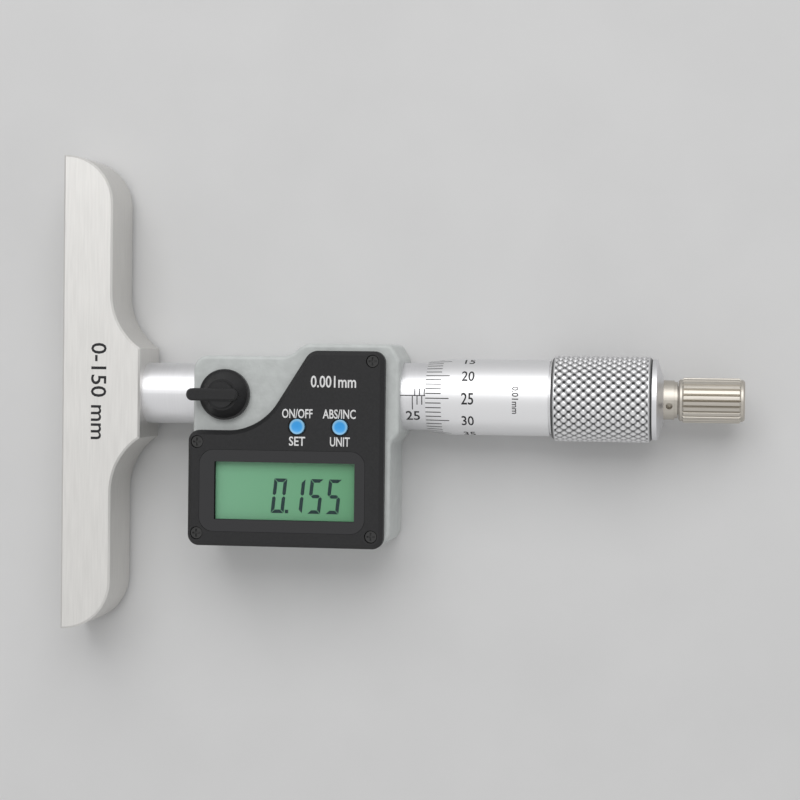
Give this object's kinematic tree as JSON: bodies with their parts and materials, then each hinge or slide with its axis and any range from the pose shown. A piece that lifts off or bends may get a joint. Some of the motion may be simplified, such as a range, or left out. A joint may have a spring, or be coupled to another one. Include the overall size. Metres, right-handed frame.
{
  "type": "depth micrometer",
  "caption": "Digital depth micrometer: flat T-shaped base, tubular neck, display housing with lock knob and keys, graduated thimble and ratchet stop.",
  "frame": {"origin": "centre of the base's measuring face, on the spindle axis where the measuring rod leaves the base", "axes": "+X from the measuring face along the spindle axis to the ratchet, +Y across the instrument to the side of the housing away from the display window, +Z out of the display; the micrometer lies on the housing's back"},
  "size_m": [0.1445, 0.1014, 0.023],
  "materials": {
    "base_steel": "ground along the base's length",
    "satin_chrome": "satin",
    "dark_steel": "ground",
    "ratchet_nickel": "satin nickel",
    "housing_paint": "hammered paint",
    "panel_plastic": "fine satin",
    "window": "clear with a black printed border",
    "lcd": "reflective display",
    "key_plastic": "satin",
    "black_plastic": "satin",
    "black_screws": "blackened",
    "seal_rubber": "smooth",
    "brass": "turned",
    "board": "solder mask",
    "cell_steel": "plain",
    "contact_steel": "plated"
  },
  "bodies": {
    "body": {"base": "base_steel", "neck_tube": "satin_chrome", "housing": "housing_paint", "front_panel": "panel_plastic", "panel_seal": "seal_rubber", "panel_screws": "black_screws", "display_window": "window", "lcd_panel": "lcd", "contact_strips": "seal_rubber", "circuit_board": "board", "key_domes": "contact_steel", "battery_cell": "cell_steel", "battery_contact": "contact_steel", "lock_shoe": "brass", "guide_bush": "dark_steel", "spindle_seal": "seal_rubber", "encoder_stator": "board", "encoder_flex": "contact_steel", "sleeve": "satin_chrome", "spindle_nut": "dark_steel", "adjusting_nut": "brass"},
    "encoder_drive": {"rotor_bush": "brass", "rotor_key": "dark_steel", "encoder_rotor": "board"},
    "spindle_and_thimble": {"spindle": "dark_steel", "thimble": "satin_chrome", "thimble_cap": "satin_chrome", "ratchet_stem": "ratchet_nickel"},
    "ratchet": {"ratchet_knob": "ratchet_nickel", "click_ring": "brass", "ratchet_spring": "contact_steel", "ratchet_screw": "ratchet_nickel"},
    "lock": {"lock_knob": "black_plastic", "lock_screw": "dark_steel"},
    "on_off_key": {"on_off_key": "key_plastic"},
    "unit_key": {"unit_key": "key_plastic"},
    "cap_ring": {"battery_cap_ring": "seal_rubber"},
    "battery_cap": {"battery_cap": "black_plastic"}
  },
  "joints": [
    {"name": "spindle_turn", "type": "hinge", "parent": "body", "child": "encoder_drive", "pos_m": [0, 0, 0], "axis": [1, 0, 0], "range_deg": [-1984, 16016.8]},
    {"name": "spindle_feed", "type": "slide", "parent": "encoder_drive", "child": "spindle_and_thimble", "axis": [1, 0, 0], "range_m": [-0.00276, 0.02225]},
    {"name": "ratchet_slip", "type": "hinge", "parent": "spindle_and_thimble", "child": "ratchet", "pos_m": [0.13085, 0, 0], "axis": [1, 0, 0], "continuous": true},
    {"name": "lock_turn", "type": "hinge", "parent": "body", "child": "lock", "pos_m": [0.036, 0, 0.0085], "axis": [0, 0, 1], "range_deg": [-75, 0]},
    {"name": "on_off_press", "type": "slide", "parent": "body", "child": "on_off_key", "axis": [0, 0, -1], "range_m": [0, 0.0004], "stiffness_N_per_m": 400},
    {"name": "unit_press", "type": "slide", "parent": "body", "child": "unit_key", "axis": [0, 0, -1], "range_m": [0, 0.0004], "stiffness_N_per_m": 400},
    {"name": "cap_travel", "type": "slide", "parent": "body", "child": "cap_ring", "axis": [0, 0, -1], "range_m": [0, 0.002]},
    {"name": "cap_turn", "type": "hinge", "parent": "cap_ring", "child": "battery_cap", "pos_m": [0.0502, -0.0197, -0.0095], "axis": [0, 0, -1], "range_deg": [0, 900.4]}
  ],
  "couplings": [
    {"joint": "spindle_turn", "follows": "spindle_feed", "rad_per_m": 12566},
    {"joint": "cap_turn", "follows": "cap_travel", "rad_per_m": 7854}
  ]
}
